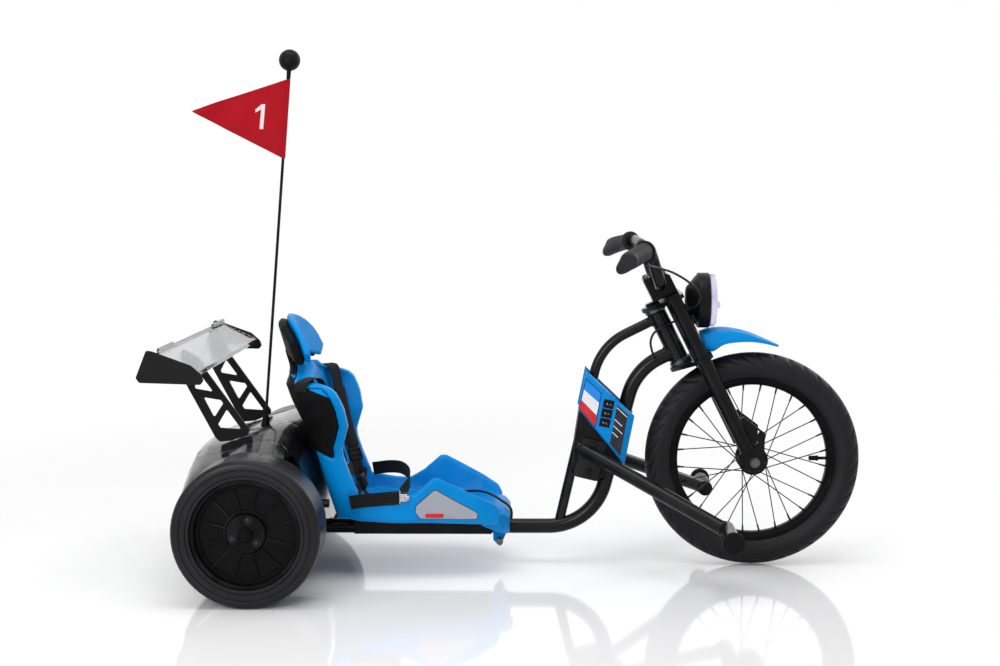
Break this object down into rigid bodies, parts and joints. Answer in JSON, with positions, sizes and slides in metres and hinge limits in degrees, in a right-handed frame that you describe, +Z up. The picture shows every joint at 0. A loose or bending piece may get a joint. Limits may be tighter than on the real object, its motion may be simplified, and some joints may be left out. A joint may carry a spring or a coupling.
{
  "type": "electric drift trike",
  "caption": "Low three-wheeled drift kart: bucket seat with harness on a tube frame, raked spoked front wheel with triple-crown fork, wide slick rear wheels, wing and flag.",
  "frame": {"origin": "middle of the bounding box's base, on the floor", "axes": "+X forward, +Y to the rider's left, +Z up"},
  "size_m": [1.3014, 0.74, 0.9632],
  "materials": {
    "frame_black": "satin black powder coat",
    "bright_steel": "zinc plated",
    "blue_shell": "moulded blue, semi-gloss",
    "black_plastic": "fine texture",
    "gloss_cover": "gloss black",
    "clear_plastic": "clear",
    "pennant_cloth": "light woven cloth",
    "webbing": "woven webbing",
    "tyre_rubber": "slick tread",
    "soft_rubber": "matte"
  },
  "bodies": {
    "chassis": {"main_tube": "frame_black", "upper_tube": "frame_black", "head_tube": "frame_black", "headset_cup_upper": "bright_steel", "headset_cup_lower": "bright_steel", "control_box": "black_plastic", "control_panel_left": "blue_shell", "control_panel_right": "blue_shell", "peg_arm_left": "frame_black", "peg_arm_right": "frame_black", "peg_cap_left": "black_plastic", "peg_cap_right": "black_plastic", "rear_frame": "frame_black", "rear_axle": "bright_steel", "gearbox_left": "black_plastic", "gearbox_right": "black_plastic", "rear_cover": "gloss_cover", "wing_strut_left": "black_plastic", "wing_strut_right": "black_plastic", "wing_board": "clear_plastic", "wing_endplate_left": "black_plastic", "wing_endplate_right": "black_plastic", "flag_pole": "black_plastic", "pennant": "pennant_cloth", "wiring_loop": "soft_rubber"},
    "seat": {"seat_shell": "blue_shell", "seat_back_shell": "black_plastic", "headrest": "blue_shell", "seat_runner": "frame_black", "seat_clamp": "blue_shell", "clamp_bolt": "bright_steel", "shoulder_straps": "webbing", "lap_strap_left": "webbing", "lap_strap_right": "webbing", "harness_buckle": "bright_steel", "pull_strap": "webbing"},
    "fork": {"fork_steerer": "frame_black", "fork_crown_upper": "frame_black", "fork_leg_left": "frame_black", "fork_leg_right": "frame_black", "front_axle": "bright_steel", "stem_clamp": "frame_black", "handlebar": "frame_black", "grip_left": "soft_rubber", "throttle_housing": "black_plastic", "headlight_bucket": "black_plastic", "headlight_lens": "clear_plastic", "fender": "blue_shell", "light_cable": "soft_rubber"},
    "throttle": {"throttle_grip": "soft_rubber"},
    "front_wheel": {"front_tyre": "tyre_rubber", "front_rim": "frame_black", "front_hub": "frame_black"},
    "rear_wheel_l": {"rear_tyre_left": "tyre_rubber", "rear_wheel_left": "black_plastic"},
    "rear_wheel_r": {"rear_tyre_right": "tyre_rubber", "rear_wheel_right": "black_plastic"},
    "button_a": {"button_power": "black_plastic"},
    "button_b": {"button_lights": "black_plastic"},
    "button_c": {"button_horn": "black_plastic"}
  },
  "joints": [
    {"name": "steering", "type": "hinge", "parent": "chassis", "child": "fork", "pos_m": [0.41187, 0, 0.18538], "axis": [-0.4415, 0, 0.8973], "range_deg": [-32, 32]},
    {"name": "front_wheel_spin", "type": "hinge", "parent": "fork", "child": "front_wheel", "pos_m": [0.44767, 0, 0.203], "axis": [0, 1, 0], "continuous": true},
    {"name": "rear_wheel_left_spin", "type": "hinge", "parent": "chassis", "child": "rear_wheel_l", "pos_m": [-0.45833, 0.3175, 0.12901], "axis": [0, 1, 0], "continuous": true},
    {"name": "rear_wheel_right_spin", "type": "hinge", "parent": "chassis", "child": "rear_wheel_r", "pos_m": [-0.45833, -0.3175, 0.12901], "axis": [0, 1, 0], "continuous": true},
    {"name": "throttle_twist", "type": "hinge", "parent": "fork", "child": "throttle", "pos_m": [0.22911, -0.24608, 0.6066], "axis": [-0.3384, -0.9328, -0.1238], "range_deg": [0, 60], "stiffness_Nm_per_rad": 0.1, "springref_deg": -22.92},
    {"name": "button_power_press", "type": "slide", "parent": "chassis", "child": "button_a", "axis": [0, 1, 0], "range_m": [0, 0.002], "stiffness_N_per_m": 300, "springref_m": -0.001},
    {"name": "button_lights_press", "type": "slide", "parent": "chassis", "child": "button_b", "axis": [0, 1, 0], "range_m": [0, 0.002], "stiffness_N_per_m": 300, "springref_m": -0.001},
    {"name": "button_horn_press", "type": "slide", "parent": "chassis", "child": "button_c", "axis": [0, 1, 0], "range_m": [0, 0.002], "stiffness_N_per_m": 300, "springref_m": -0.001},
    {"name": "seat_slide", "type": "slide", "parent": "chassis", "child": "seat", "axis": [1, 0, 0], "range_m": [0, 0.07]}
  ]
}
